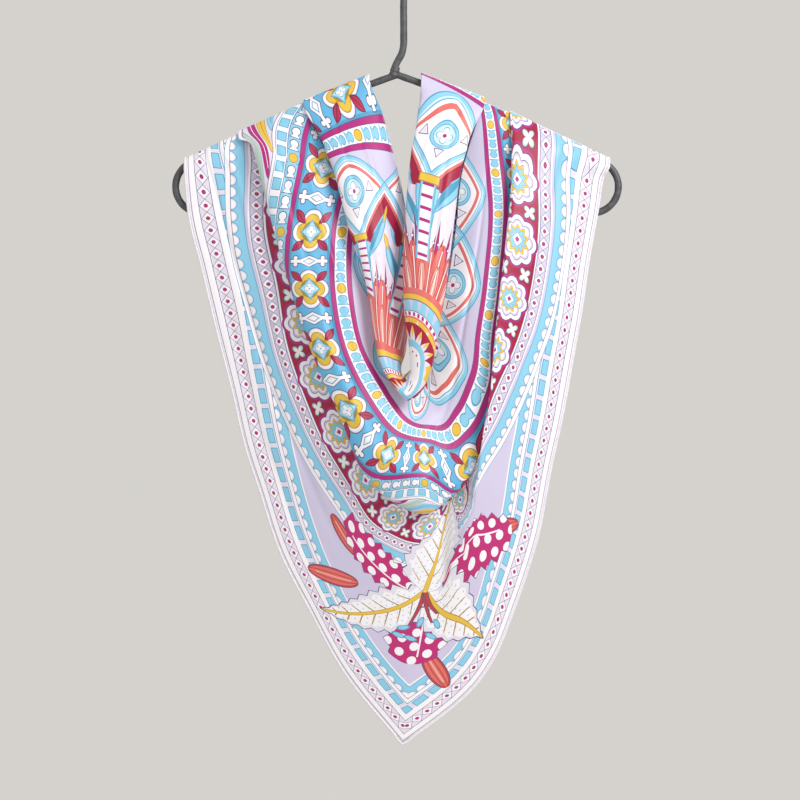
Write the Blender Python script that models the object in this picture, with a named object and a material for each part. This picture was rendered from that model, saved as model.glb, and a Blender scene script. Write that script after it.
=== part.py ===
"""Silk square scarf, folded corner to corner and draped over a bent iron hanger.

Millimetres in the tables, metres in the meshes. +Z up, +X to the wearer's left, the front faces -Y.
The origin is where the hook rests on its rail.
"""

import math

import bpy
import numpy as np

MM = 0.001

# Hanger: one forged rod, 6.2 mm thick, 382 mm wide.
ROD = 3.1
ARM_DROP = -121.0
ARM_SLOPE = 0.355
ARM_SAG = 0.0004
HALF_SPAN = 183.0
ARM_END = 180.0
END_RADIUS = 23.0
END_TURN = math.radians(63)
HOOK_RADIUS = 22.1
STEM_X = 5.8
GAP = 0.4

# Turns round the arm, in degrees from its top, at which the cloth's sections are set.
TURNS = (80, 45, 10, -25, -60)
OVER = len(TURNS)

# Cloth: two silk layers and the air between them, as one wall.
WALL = 1.6
HEM = 1.2
LAYER = 2.1
LOW_LIFT = 1.9
PLEAT_DEPTH = 26.0

# How far down its slope a fold turns under, and how much of the outer stretch's slope lies outside its middle.
TUCK_SLANT = np.array([0.5, 1.0, 0.0])
KNEE = 0.42

# Sections of the outer stretch down its left side: free edge, and where it goes under the next fold.
OUTER_LEFT = """
edge_x edge_z edge_y fold_x fold_z fold_y
-180   -239   -8     -122   -199   -12
-168   -290   -9     -109   -251   -20
-155   -344   -10    -94    -301   -28
-142   -394   -11    -80    -351   -34
-130   -445   -12    -63    -391   -38
-118   -481   -13    -43    -430   -41
-100   -535   -15    -25    -460   -43
-76    -582   -17    -10    -488   -44
-45    -638   -19     4     -493   -43
 5     -700   -21     20    -492   -41
"""

# The same up its right side, where the cloth turns under itself at a ridge.
OUTER_RIGHT = """
edge_x edge_z edge_y ridge_x ridge_z ridge_y tuck inner_x inner_z inner_y
49     -667   -20    36      -575    -34     0    36      -486    -36
81     -630   -18    49      -538    -45     0    46      -478    -34
98     -591   -16    59      -509    -52     2    54      -470    -34
120    -525   -14    64      -484    -56     5    63      -464    -38
132    -464   -12    68      -456    -58     7    72      -450    -44
142    -419   -11    71      -429    -59     8    78      -429    -47
151    -370   -10    76      -400    -57     8    83      -400    -45
159    -325   -10    80      -355    -53     8    87      -355    -41
165    -284   -9     85      -309    -47     8    92      -309    -35
173    -239   -8     91      -261    -38     7    97      -261    -27
177    -213   -8     96      -212    -26     5    101     -212    -18
"""

# Sections of the middle stretch, from left shoulder to right: outer ridge, and where the inner roll covers it.
MIDDLE = """
ridge_x ridge_z ridge_y inner_x inner_z inner_y belly tuck
-129    -183    -20     -58     -206    -23     6     4
-109    -260    -33     -44     -260    -32     10    8
-95     -309    -40     -28     -309    -38     12    9
-77     -361    -47     -21     -357    -42     12    9
-52     -418    -53     -4      -393    -44     12    9
-21     -483    -57      13     -399    -38     14    9
 24     -506    -57      22     -395    -33     15    9
 52     -486    -48      27     -386    -31     9     3
 70     -452    -42      29     -368    -30     6     0
 81     -401    -40      32     -357    -30     5     0
 84     -357    -37      38     -335    -29     5     0
 89     -309    -31      45     -305    -27     4     0
 95     -262    -23      52     -262    -21     3     0
100     -212    -12      58     -208    -13     2     0
"""

# Sections of the inner roll: outer ridge, neckline, and how far the cloth curls inside the neckline.
INNER = """
ridge_x ridge_z ridge_y neck_x neck_z neck_y belly tuck curl_x curl_z curl_y
-70     -174    -24     -15    -156   -15    5     2    2      0      5
-58     -206    -37     -7     -192   -26    8     6    4      0      12
-44     -260    -43     -4     -245   -36    10    8    12     0      20
-28     -309    -49     -4     -300   -44    9     8    15     0      24
-21     -350    -54     -6     -342   -50    7     7    15     0      26
-14     -377    -58     -5     -366   -54    4     6    12     3      24
-3      -393    -60      0     -383   -57    3     5    3      5      18
10      -406    -61      6     -389   -58    5     5    0      6      17
22      -397    -61      10    -382   -58    6     6    4      6      16
30      -379    -60      10    -370   -58    8     7    7      4      15
36      -353    -58      7     -350   -58    10    8    9      0      15
43      -318    -54      3     -316   -56    12    9    10     0      15
51      -262    -45      3     -262   -48    12    9    10     0      15
59      -203    -31      8     -203   -33    9     7    8      0      12
67      -172    -19      15    -163   -18    5     2    4      0      6
"""

# Behind the hanger the two side corners hang down: where each corner ends.
TAIL = """
side corner_x corner_z corner_y
-1   -30      -482     15
 1    36      -478     21
"""


def table(text):
    """The named columns of a table as arrays."""
    lines = text.strip().splitlines()
    values = np.array([line.split() for line in lines[1:]], float)
    return dict(zip(lines[0].split(), values.T))


def points(columns, name):
    """Columns name_x, name_y and name_z side by side."""
    return np.stack([columns[name + "_x"], columns[name + "_y"], columns[name + "_z"]], axis=-1)


def arm_height(x):
    """Height of the hanger's arm: it falls steadily from the neck, and a little faster outwards."""
    return ARM_DROP - ARM_SLOPE * np.abs(x) - ARM_SAG * np.square(x)


def over_arm(x, lift, turns):
    """Points round the top of the arm at x, at each turn in degrees from the top; negative turns face forwards."""
    angle = np.radians(np.asarray(turns, float))
    reach = ROD + lift
    return np.stack(
        [np.full(angle.shape, float(x)), reach * np.sin(angle), arm_height(x) + reach * np.cos(angle)],
        axis=-1,
    )


def lead_in(x, lift):
    """The start of a fold line on a shoulder: behind the arm, over its top and just in front."""
    return over_arm(x, lift, TURNS)


def between_shoulders(left_x, line, right_x, lift):
    """A fold line with its run over both arms added to its two ends."""
    return np.concatenate([lead_in(left_x, lift), line, lead_in(right_x, lift)[::-1]])


def padded(column):
    """A column that fades to nothing over the arms."""
    return np.concatenate([np.zeros(OVER), column, np.zeros(OVER)])


def knots_of(lines):
    """Distance along the middle of a set of lines, used to space their sections."""
    middle = np.mean(lines, axis=0)
    steps = np.linalg.norm(np.diff(middle, axis=0), axis=1)
    return np.concatenate([[0.0], np.cumsum(np.maximum(steps, 4.0))])


def spread(knots, counts, corner=None):
    """Where sections are cut: at each row over the arms, and evenly spaced between, with one on the corner."""
    marks = [knots[OVER - 1], knots[-OVER]]
    if corner is not None:
        marks.insert(1, knots[corner])
    between = [np.linspace(*pair, count + 1)[:-1] for pair, count in zip(zip(marks, marks[1:]), counts)]
    return np.concatenate([knots[: OVER - 1], *between, knots[-OVER:]])


def through(rows, knots, at):
    """A smooth cubic through rows: each slope is the weighted mean of the two chords beside it."""
    slopes = np.gradient(rows, knots, axis=0)
    index = np.clip(np.searchsorted(knots, at, side="right") - 1, 0, len(knots) - 2)
    width = (knots[index + 1] - knots[index])[:, None]
    part = ((at - knots[index])[:, None]) / width
    start, end = rows[index], rows[index + 1]
    rise, fall = slopes[index] * width, slopes[index + 1] * width
    return (
        (2 * part**3 - 3 * part**2 + 1) * start
        + (part**3 - 2 * part**2 + part) * rise
        + (3 * part**2 - 2 * part**3) * end
        + (part**3 - part**2) * fall
    )


def through_corner(rows, knots, at, corner):
    """The same curve with a sharp corner at one row."""
    left = at <= knots[corner]
    first = through(rows[: corner + 1], knots[: corner + 1], at[left])
    second = through(rows[corner:], knots[corner:], at[~left])
    return np.concatenate([first, second])


def across(controls, count, passes):
    """Sections across a stretch: points evenly spaced along each section's control line, then averaged
    with their neighbours a few times so that every fold is round."""
    lengths = np.linalg.norm(np.diff(controls, axis=1), axis=2)
    run = np.concatenate([np.zeros((len(controls), 1)), np.cumsum(lengths, axis=1)], axis=1)
    sections = []
    for section, distance in zip(controls, run):
        wanted = np.linspace(0, distance[-1], count)
        sections.append([np.interp(wanted, distance, section[:, axis]) for axis in range(3)])
    grid = np.transpose(np.array(sections), (0, 2, 1))
    for _ in range(passes):
        grid[:, 1:-1] = (grid[:, :-2] + 2 * grid[:, 1:-1] + grid[:, 2:]) / 4
    return grid


def wall(name, grid, material, thickness=WALL):
    """A closed sheet: the grid moved out by half the wall on both sides and closed round its rim."""
    along = np.gradient(grid, axis=0)
    over = np.gradient(grid, axis=1)
    normal = np.cross(along, over)
    normal /= np.maximum(np.linalg.norm(normal, axis=2, keepdims=True), 1e-9)
    rows, columns = grid.shape[:2]
    sheets = np.stack([grid + normal * thickness / 2, grid - normal * thickness / 2])
    number = np.arange(rows * columns).reshape(rows, columns)
    quads = np.stack([number[:-1, :-1], number[1:, :-1], number[1:, 1:], number[:-1, 1:]], axis=-1).reshape(-1, 4)
    rim = np.concatenate([number[0, :], number[1:, -1], number[-1, -2::-1], number[-2:0:-1, 0]])
    following = np.roll(rim, -1)
    other = rows * columns
    sides = np.stack([rim, following, following + other, rim + other], axis=-1)
    faces = np.concatenate([quads, quads[:, ::-1] + other, sides])
    mesh = bpy.data.meshes.new(name)
    mesh.from_pydata((sheets.reshape(-1, 3) * MM).tolist(), [], faces.tolist())
    mesh.update()
    return placed(name, mesh, material)


def placed(name, mesh, material):
    """Adds a mesh to the scene as a named piece."""
    mesh.materials.append(material)
    mesh.shade_smooth()
    piece = bpy.data.objects.new(name, mesh)
    bpy.context.scene.collection.objects.link(piece)
    return piece


def rod(name, path, radius, material, sides=2):
    """A round rod or hem along a path, with closed ends."""
    curve = bpy.data.curves.new(name, "CURVE")
    curve.dimensions = "3D"
    curve.bevel_depth = radius * MM
    curve.bevel_resolution = sides
    curve.use_fill_caps = True
    spline = curve.splines.new("POLY")
    spline.points.add(len(path) - 1)
    spline.points.foreach_set("co", np.c_[np.asarray(path) * MM, np.ones(len(path))].ravel())
    curve.materials.append(material)
    piece = bpy.data.objects.new(name, curve)
    bpy.context.scene.collection.objects.link(piece)
    return piece


def finish(name, colour, roughness, metallic):
    """A plain material for one sub-part."""
    material = bpy.data.materials.new(name)
    material.use_nodes = True
    shader = material.node_tree.nodes["Principled BSDF"]
    shader.inputs["Base Color"].default_value = (*colour, 1)
    shader.inputs["Roughness"].default_value = roughness
    shader.inputs["Metallic"].default_value = metallic
    return material


def hem_path(grid_edge, grid_next):
    """The rolled hem's centre line: the free edge moved outwards by the hem's radius and a small gap."""
    outward = grid_edge - grid_next
    outward /= np.linalg.norm(outward, axis=1, keepdims=True)
    return grid_edge + outward * (HEM + GAP)


def outer_stretch():
    """Sections of the outer stretch: left side, front corner and right side in one grid."""
    left = table(OUTER_LEFT)
    right = table(OUTER_RIGHT)
    corner = len(left["edge_x"]) - 1 + OVER
    edge = between_shoulders(
        -HALF_SPAN, np.concatenate([points(left, "edge"), points(right, "edge")]), HALF_SPAN, LOW_LIFT + HEM
    )
    fold_left = np.concatenate([lead_in(-134, LOW_LIFT), points(left, "fold")])
    edge_left = edge[: len(fold_left)]
    ridge_right = np.concatenate([points(right, "ridge"), lead_in(95, LOW_LIFT + LAYER)[::-1]])
    inner_right = np.concatenate([points(right, "inner"), lead_in(98, LOW_LIFT + LAYER)[::-1]])
    tuck = padded(right["tuck"])[OVER:, None]
    turned = ridge_right + tuck * TUCK_SLANT
    turned[-OVER:] += (1.5, 0, 0)
    ridge = np.concatenate([edge_left + 0.7 * (fold_left - edge_left), ridge_right])
    turn = np.concatenate([edge_left + 0.84 * (fold_left - edge_left), turned])
    under = padded(np.full(len(left["fold_x"]), 9.0))[: len(fold_left), None]
    inner = np.concatenate([fold_left + under * (1.0, -0.1, 0.3), inner_right])
    knee = edge + 0.5 * (ridge - edge)
    front = slice(OVER, -OVER)
    knee[front, 1] = edge[front, 1] + KNEE * (ridge[front, 1] - edge[front, 1])
    lines = [edge, knee, ridge, turn, inner]
    knots = knots_of(lines)
    at = spread(knots, (19, 21), corner)
    edge_line = through_corner(edge, knots, at, corner)
    rest = [through(line, knots, at) for line in lines[1:]]
    return across(np.stack([edge_line, *rest], axis=1), 13, 1)


def middle_stretch():
    """Sections of the middle stretch, a deep swag from shoulder to shoulder."""
    rows = table(MIDDLE)
    lift = LOW_LIFT + LAYER
    ridge = between_shoulders(-138, points(rows, "ridge"), 94.5, lift)
    inner = between_shoulders(-79, points(rows, "inner"), 73, lift)
    ridge[-OVER:] = lead_in(98, LOW_LIFT)[::-1]
    inner[-OVER:] = lead_in(73, LOW_LIFT)[::-1]
    belly = padded(rows["belly"])[:, None]
    tuck = padded(rows["tuck"])[:, None]
    span = inner - ridge
    inwards = span / np.linalg.norm(span, axis=1, keepdims=True)
    forwards = np.array([0.0, -1.0, 0.0])
    lines = [
        ridge + tuck * (inwards - 0.75 * forwards),
        ridge,
        ridge + 0.3 * span + belly * forwards,
        ridge + 0.7 * span + 0.8 * belly * forwards,
        inner,
        inner + np.minimum(tuck + 2, 8) * (inwards - 0.1 * forwards) * (belly > 0),
    ]
    knots = knots_of(lines)
    at = spread(knots, (37,))
    return across(np.stack([through(line, knots, at) for line in lines], axis=1), 13, 1)


def inner_roll():
    """Sections of the inner roll, whose upper edge is the scarf's neckline."""
    rows = table(INNER)
    lift = LOW_LIFT + 2 * LAYER
    ridge = between_shoulders(-81, points(rows, "ridge"), 76, lift)
    neck = between_shoulders(-24, points(rows, "neck"), 21, lift)
    curl = np.stack([padded(rows["curl_" + axis]) for axis in "xyz"], axis=1)
    belly = padded(rows["belly"])[:, None]
    tuck = padded(rows["tuck"])[:, None]
    span = neck - ridge
    inwards = span / np.linalg.norm(span, axis=1, keepdims=True)
    forwards = np.array([0.0, -1.0, 0.0])
    lines = [
        ridge + tuck * (inwards - 0.85 * forwards),
        ridge,
        ridge + 0.3 * span + belly * forwards,
        ridge + 0.7 * span + belly * forwards,
        neck,
        neck + curl * (0.7, 0.45, 0.7),
        neck + curl,
    ]
    knots = knots_of(lines)
    at = spread(knots, (41,))
    return across(np.stack([through(line, knots, at) for line in lines], axis=1), 13, 1)


def tail(side, corner):
    """A side corner of the square, hanging behind the arm: straight sides that close to the corner, with
    gathered cloth between them standing out behind in rounded pleats that die out downwards."""
    across_part = np.linspace(0, 1, 16)
    down = np.linspace(0, 1, 17)[:, None]
    start_x = side * (HALF_SPAN - (HALF_SPAN - 23.0) * across_part)
    steps = 1 / (1 + np.exp(-(across_part - 0.31) / 0.03)) + 1 / (1 + np.exp(-(across_part - 0.64) / 0.03))
    reach = ROD + LOW_LIFT + LAYER * steps + 0.3
    start_y = reach + 0.3
    start_z = arm_height(start_x) - 0.2 * reach
    end_x = corner[0] + side * (2.0 - 4.0 * across_part)
    x = start_x + (end_x - start_x) * down
    z = start_z + (corner[2] - start_z) * down
    hang = corner[1] - start_y
    pleat = PLEAT_DEPTH * np.sin(across_part * 2.5 * math.pi) ** 2 * np.minimum(down * 6, 1) * (1 - down)
    y = start_y + hang * (1 - (1 - down) ** 2) + pleat
    grid = np.stack([x, y, z], axis=-1)
    return grid if side > 0 else grid[:, ::-1]


def build_cloth():
    """The three stretches in front, the two corners behind, and their rolled hems."""
    silk = finish("printed silk", (0.62, 0.6, 0.78), 0.45, 0)
    roll = finish("rolled hem", (0.85, 0.84, 0.9), 0.5, 0)
    outer = outer_stretch()
    wall("outer_stretch", outer, silk)
    wall("middle_stretch", middle_stretch(), silk)
    wall("inner_roll", inner_roll(), silk)
    rod("front_hem", hem_path(outer[:, 0], outer[:, 1])[1:-1], HEM, roll, 1)
    corners = table(TAIL)
    for side, corner in zip(corners["side"], points(corners, "corner")):
        name = "left" if side < 0 else "right"
        grid = tail(side, corner)
        wall(f"{name}_tail", grid, silk)
        edge, following = (grid[:, -1], grid[:, -2]) if side < 0 else (grid[:, 0], grid[:, 1])
        rod(f"{name}_tail_hem", hem_path(edge, following)[1:], HEM, roll, 1)


def build_hanger():
    """Hook, two arms with curled ends and the bar between them."""
    iron = finish("wrought iron", (0.06, 0.06, 0.065), 0.55, 0.8)
    hook_centre = ROD - HOOK_RADIUS
    turn = np.radians(np.linspace(-55, 200, 22))
    crook = np.c_[HOOK_RADIUS * np.cos(turn), 0 * turn, hook_centre + HOOK_RADIUS * np.sin(turn)]
    stem = [(-1.8, 0, -115), (0.9, 0, -109), (4.0, 0, -103), (STEM_X, 0, -95), (STEM_X, 0, -75), (STEM_X, 0, -52), (8.6, 0, -42)]
    rod("hook", np.concatenate([stem, crook]), ROD, iron)
    end_x = ARM_END - END_RADIUS * math.cos(END_TURN)
    end_z = arm_height(ARM_END) - END_RADIUS * math.sin(END_TURN)
    for side, name in ((-1, "left"), (1, "right")):
        start = 1.0 if side < 0 else 4.2
        along = np.linspace(start, ARM_END, 16)
        arm = np.c_[side * along, 0 * along, arm_height(along)]
        if side < 0:
            arm = np.concatenate([[(0.2, 0, ARM_DROP)], arm])
        rod(f"{name}_arm", arm, ROD, iron)
        angle = np.linspace(END_TURN - 0.02, -math.pi / 2, 13)
        curl_x = end_x + END_RADIUS * np.cos(angle)
        rod(f"{name}_end", np.c_[side * curl_x, 0 * angle, end_z + END_RADIUS * np.sin(angle)], ROD, iron)
    bar_z = end_z - END_RADIUS
    reach = end_x - GAP
    rod("lower_bar", [(-reach, 0, bar_z), (0, 0, bar_z), (reach, 0, bar_z)], ROD, iron)


for leftover in list(bpy.data.objects):
    bpy.data.objects.remove(leftover)
build_cloth()
build_hanger()
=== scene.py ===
import math

import bpy
import numpy as np
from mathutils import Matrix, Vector


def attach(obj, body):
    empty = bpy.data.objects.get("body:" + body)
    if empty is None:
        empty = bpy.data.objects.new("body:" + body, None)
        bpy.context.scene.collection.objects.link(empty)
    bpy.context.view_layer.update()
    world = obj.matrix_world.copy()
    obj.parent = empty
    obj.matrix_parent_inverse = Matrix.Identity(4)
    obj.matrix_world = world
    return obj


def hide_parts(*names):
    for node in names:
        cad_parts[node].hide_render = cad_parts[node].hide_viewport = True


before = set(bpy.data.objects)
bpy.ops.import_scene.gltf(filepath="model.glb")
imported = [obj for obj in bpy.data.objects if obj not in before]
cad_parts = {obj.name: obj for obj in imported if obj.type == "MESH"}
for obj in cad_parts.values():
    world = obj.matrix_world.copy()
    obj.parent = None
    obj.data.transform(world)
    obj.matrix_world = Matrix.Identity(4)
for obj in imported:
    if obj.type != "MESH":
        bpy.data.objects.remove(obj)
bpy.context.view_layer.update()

# The viewer stands in front of the scarf, level with its middle, two and a half metres back.
# The lens is long, so the square's printed rings keep their shape.
middle_x = 0.0026
middle_z = -0.404
DISTANCE = 2.6
camera_data = bpy.data.cameras.new("camera")
camera_data.sensor_width = 36.0
camera_data.lens = 36.0 * DISTANCE / 0.688
camera = bpy.data.objects.new("camera", camera_data)
bpy.context.scene.collection.objects.link(camera)
camera.location = (middle_x, -DISTANCE - 0.03, middle_z)
camera.rotation_euler = (math.pi / 2, 0, 0)
bpy.context.scene.camera = camera


# ---------------------------------------------------------------- outer stretch of the scarf
# The lowest and widest stretch: the square's front corner and the two free edges beside it, hanging
# from the ends of the arms. It is two layers of silk twill, folded corner to corner, and is laid
# over the arms first. On its right it turns under itself in one long pleat.

ARM_DROP = -121.0
ARM_SLOPE = 0.355
ARM_SAG = 0.0004
ROD_RADIUS = 3.1
HALF_SPAN = 183.0
OVER_TURNS = np.radians([80.0, 45.0, 10.0, -25.0, -60.0])
OVER = len(OVER_TURNS)
FIRST_LAYER = 1.9
LAYER = 2.1
SIDE = 900.0
HALF_DIAGONAL = SIDE / math.sqrt(2)

# Each row: the free edge, with how far along the cut edge it lies from the front corner, then where
# the cloth goes under the next stretch, with its place on the print in rings round the middle.
LEFT_SIDE = """
edge_x edge_z edge_y edge_t fold_x fold_z fold_y fold_r fold_a
-180   -239   -8     506    -122   -199   -12    402    58.3
-168   -290   -9     454    -109   -251   -20    389    50.8
-155   -344   -10    398    -94    -301   -28    384    43
-142   -394   -11    345    -80    -351   -34    375    35.2
-130   -445   -12    293    -63    -391   -38    369    28.6
-118   -481   -13    255    -43    -430   -41    362    22
-100   -535   -15    200    -25    -460   -43    360    16
-76    -582   -17    146    -10    -488   -44    357    10.5
-45    -638   -19    83      4     -493   -43    353    6
 5     -700   -21    0       20    -492   -41    346    1.5
"""
RIGHT_SIDE = """
edge_x edge_z edge_y edge_t ridge_x ridge_z ridge_y ridge_r ridge_a tuck inner_x inner_z inner_y inner_r inner_a
49     -667   -20    54     36      -575    -34     464.5   -2.7    0    36      -486    -36     343     -2
81     -630   -18    102    49      -538    -45     455     -5      0    46      -478    -34     343     -5
98     -591   -16    143    59      -509    -52     449     -8      2    54      -470    -34     350     -8.5
120    -525   -14    212    64      -484    -56     429     -12     5    63      -464    -38     399     -12.5
132    -464   -12    273    68      -456    -58     412     -16.5   7    72      -450    -44     396     -17
142    -419   -11    319    71      -429    -59     397     -20.5   8    78      -429    -47     381     -21
151    -370   -10    369    76      -400    -57     388     -24.5   8    83      -400    -45     371     -25
159    -325   -10    413    80      -355    -53     368     -30.5   8    87      -355    -41     354     -31
165    -284   -9     454    85      -309    -47     358     -38     8    92      -309    -35     345     -38.5
173    -239   -8     499    91      -261    -38     359     -45     7    97      -261    -27     347     -45.5
177    -213   -8     525    96      -212    -26     365     -52.5   5    101     -212    -18     356     -53
"""


def table(text):
    """The named columns of a table as arrays."""
    lines = text.strip().splitlines()
    values = np.array([line.split() for line in lines[1:]], float)
    return dict(zip(lines[0].split(), values.T))


def on_ring(radius, degrees):
    """Place on the flat square of a point on a ring round its middle, counted from the front corner towards
    the left: across the diagonal, and up it from the corner."""
    turn = np.radians(degrees)
    return np.stack([-radius * np.sin(turn), HALF_DIAGONAL - radius * np.cos(turn)], axis=-1)


def on_edge(along, side):
    """Place on the flat square of a point on its cut edge, that far from the front corner."""
    return np.stack([side * along, along], axis=-1) / math.sqrt(2)


def line_of(rows, name, flat):
    """A fold line: columns name_x, name_y and name_z, and beside them the place on the flat square."""
    return np.column_stack([rows[name + "_x"], rows[name + "_y"], rows[name + "_z"], flat])


def arm_height(x):
    """Height of the hanger's arm: it falls steadily from the neck, and a little faster outwards."""
    return ARM_DROP - ARM_SLOPE * np.abs(x) - ARM_SAG * np.square(x)


def over_arm(x, lift, crest, below):
    """A fold line's run over an arm: an arc round the rod, from behind it to just in front, while the
    place on the flat square moves on in step with the arc from crest, away from below."""
    reach = ROD_RADIUS + lift
    step = np.asarray(crest, float) - below
    step /= np.linalg.norm(step)
    flat = crest + step * (reach * OVER_TURNS)[:, None]
    y = reach * np.sin(OVER_TURNS)
    return np.column_stack([np.full(OVER, float(x)), y, arm_height(x) + reach * np.cos(OVER_TURNS), flat])


def between_arms(left_x, left_crest, line, right_x, right_crest, lift, right_lift=None):
    """A fold line with its run over both arms added to its two ends."""
    left = over_arm(left_x, lift, left_crest, line[0, 3:])
    right = over_arm(right_x, lift if right_lift is None else right_lift, right_crest, line[-1, 3:])
    return np.concatenate([left, line, right[::-1]])


def padded(column):
    """A column that is nothing over the arms."""
    return np.concatenate([np.zeros(OVER), column, np.zeros(OVER)])


def knots_of(lines):
    """Distance along the middle of a set of lines, which places their sections."""
    centre = np.mean([line[:, :3] for line in lines], axis=0)
    steps = np.linalg.norm(np.diff(centre, axis=0), axis=1)
    return np.concatenate([[0.0], np.cumsum(np.maximum(steps, 4.0))])


def spread(knots, counts, corner=None, over=4):
    """Where the sections lie: a few between rows over each arm, the rest evenly between, one on the corner."""
    marks = [knots[OVER - 1], knots[-OVER]]
    if corner is not None:
        marks.insert(1, knots[corner])
    between = [np.linspace(a, b, count + 1)[:-1] for a, b, count in zip(marks, marks[1:], counts)]
    first = np.interp(np.arange((OVER - 1) * over) / over, np.arange(OVER), knots[:OVER])
    last = np.interp(np.arange((OVER - 1) * over + 1) / over, np.arange(OVER), knots[-OVER:])
    return np.concatenate([first, *between, last])


def through(rows, knots, at):
    """A smooth cubic through rows: each slope is the weighted mean of the two chords beside it."""
    slopes = np.gradient(rows, knots, axis=0)
    index = np.clip(np.searchsorted(knots, at, side="right") - 1, 0, len(knots) - 2)
    width = (knots[index + 1] - knots[index])[:, None]
    part = (at - knots[index])[:, None] / width
    bend = part * part * (3 - 2 * part)
    rise = slopes[index] * width
    fall = slopes[index + 1] * width
    lifted = part * np.square(1 - part) * rise - part * part * (1 - part) * fall
    return (1 - bend) * rows[index] + bend * rows[index + 1] + lifted


def through_corner(rows, knots, at, corner):
    """The same curve with a sharp corner at one row."""
    left = at <= knots[corner]
    first = through(rows[: corner + 1], knots[: corner + 1], at[left])
    second = through(rows[corner:], knots[corner:], at[~left])
    return np.concatenate([first, second])


def sections(controls, fine, coarse=13, passes=1):
    """Sections across a stretch. Each control line is cut into evenly spaced points, which are averaged with
    their neighbours so that folds are round, and a cubic through those points gives the fine ones."""
    lengths = np.linalg.norm(np.diff(controls[..., :3], axis=1), axis=2)
    run = np.concatenate([np.zeros((len(controls), 1)), np.cumsum(lengths, axis=1)], axis=1)
    wanted = run[:, -1:] * np.linspace(0, 1, coarse)
    index = np.sum(wanted[:, :, None] >= run[:, None, 1:-1], axis=2)
    row = np.arange(len(controls))[:, None]
    start = run[row, index]
    part = ((wanted - start) / np.maximum(run[row, index + 1] - start, 1e-9))[..., None]
    grid = controls[row, index] * (1 - part) + controls[row, index + 1] * part
    for _ in range(passes):
        grid[:, 1:-1] = (grid[:, :-2] + 2 * grid[:, 1:-1] + grid[:, 2:]) / 4
    turned = grid.transpose(1, 0, 2).reshape(coarse, -1)
    smooth = through(turned, np.arange(float(coarse)), np.linspace(0, coarse - 1, fine))
    return smooth.reshape(fine, len(controls), -1).transpose(1, 0, 2)


def normals_of(grid):
    """Unit normals of a grid of points, from the differences along its two directions."""
    normal = np.cross(np.gradient(grid[..., :3], axis=0), np.gradient(grid[..., :3], axis=1))
    return normal / np.maximum(np.linalg.norm(normal, axis=2, keepdims=True), 1e-9)


def pressed(grid, folds):
    """The grid with soft creases pressed in. Each fold is a rounded bump or hollow that follows a
    straight line over the grid, from one place to another, and fades at both of its ends."""
    rows, columns = grid.shape[:2]
    down = np.linspace(0, 1, rows)[:, None]
    over = np.linspace(0, 1, columns)[None, :]
    push = np.zeros((rows, columns))
    listed = table(folds)
    columns = (listed[name] for name in ("u0", "v0", "u1", "v1", "width", "height"))
    for u0, v0, u1, v1, width, height in zip(*columns):
        du, dv = u1 - u0, v1 - v0
        length = du * du + dv * dv
        along = ((down - u0) * du + (over - v0) * dv) / length
        aside = ((down - u0) * dv - (over - v0) * du) / math.sqrt(length)
        fade = np.sin(math.pi * np.clip(along, 0, 1)) ** 0.7
        push += height * fade * np.exp(-np.square(aside / width))
    rim = np.clip(np.minimum(down, 1 - down) * 14, 0, 1) * np.clip(np.minimum(over, 1 - over) * 10, 0.25, 1)
    out = grid.copy()
    out[..., :3] -= normals_of(grid) * (push * rim)[..., None]
    return out


SILK_THICKNESS = 0.9


def silk_shell(name, grid, materials, zone_of, towards=-1):
    """A thin closed sheet: the grid moved out by half the cloth's thickness on both sides and closed round
    its rim. The flat square's own coordinates, in metres, are its UV map."""
    offset = normals_of(grid) * (SILK_THICKNESS / 2)
    rows, columns = grid.shape[:2]
    sheets = np.stack([grid[..., :3] + offset, grid[..., :3] - offset]).reshape(-1, 3)
    number = np.arange(rows * columns).reshape(rows, columns)
    four = [number[:-1, :-1], number[1:, :-1], number[1:, 1:], number[:-1, 1:]]
    quads = np.stack(four, axis=-1).reshape(-1, 4)
    rim = np.concatenate([number[0, :], number[1:, -1], number[-1, -2::-1], number[-2:0:-1, 0]])
    following = np.roll(rim, -1)
    other = rows * columns
    sides = np.stack([rim, following, following + other, rim + other], axis=-1)
    faces = np.concatenate([quads, quads[:, ::-1] + other, sides])
    mesh = bpy.data.meshes.new(name)
    mesh.from_pydata((sheets * 0.001).tolist(), [], faces.tolist())
    flat = np.tile(grid[..., 3:].reshape(-1, 2), (2, 1)) * 0.001
    layer = mesh.uv_layers.new(name="cloth")
    corners = np.empty(len(mesh.loops), np.int32)
    mesh.loops.foreach_get("vertex_index", corners)
    layer.data.foreach_set("uv", flat[corners].ravel())
    for material in materials:
        mesh.materials.append(material)
    mesh.polygons.foreach_set("material_index", zone_of(flat[faces].mean(axis=1) * 1000).astype(np.int32))
    mesh.shade_smooth()
    mesh.update()
    piece = bpy.data.objects.new(name, mesh)
    bpy.context.scene.collection.objects.link(piece)
    return piece


def cut_of(grid):
    """The flat piece under a stretch: its greatest width across and length along, and its area, in metres."""
    flat = grid[..., 3:] * 0.001
    along = np.linalg.norm(np.diff(flat, axis=0), axis=2).sum(axis=0)
    across = np.linalg.norm(np.diff(flat, axis=1), axis=2).sum(axis=1)
    one, two = flat[1:, 1:] - flat[:-1, :-1], flat[1:, :-1] - flat[:-1, 1:]
    area = np.abs(one[..., 0] * two[..., 1] - one[..., 1] * two[..., 0]).sum() / 2
    return float(across.max()), float(along.max()), float(area)

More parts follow.
